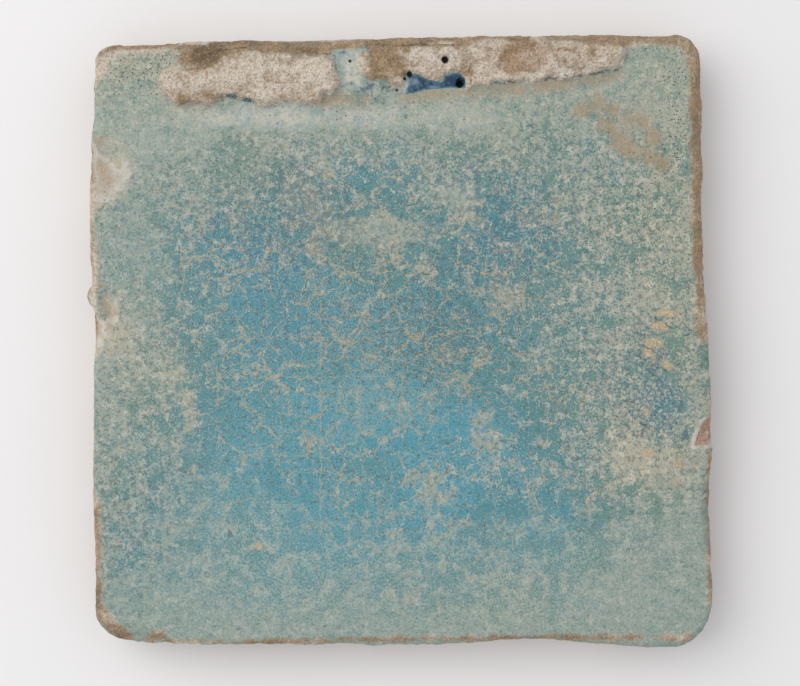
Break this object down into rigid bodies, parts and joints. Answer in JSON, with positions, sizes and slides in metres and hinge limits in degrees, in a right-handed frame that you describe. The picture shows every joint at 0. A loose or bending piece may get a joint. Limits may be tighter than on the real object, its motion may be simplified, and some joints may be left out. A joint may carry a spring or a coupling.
{
  "type": "square tile",
  "caption": "Square glazed wall tile: a fired slab with a crowned turquoise face, wavy sides that lean in to a flat back, chipped edges and a raised broken scar along its top side.",
  "frame": {"origin": "middle of the flat back", "axes": "+Z out of the glazed face, +Y towards the side with the scar, +X to the right as the face is looked at"},
  "size_m": [0.1998, 0.196, 0.0261],
  "materials": {
    "glazed_clay": "turquoise glaze, weathered matt and crazed, over buff fired clay"
  },
  "bodies": {
    "root": {"tile": "glazed_clay"}
  },
  "joints": []
}
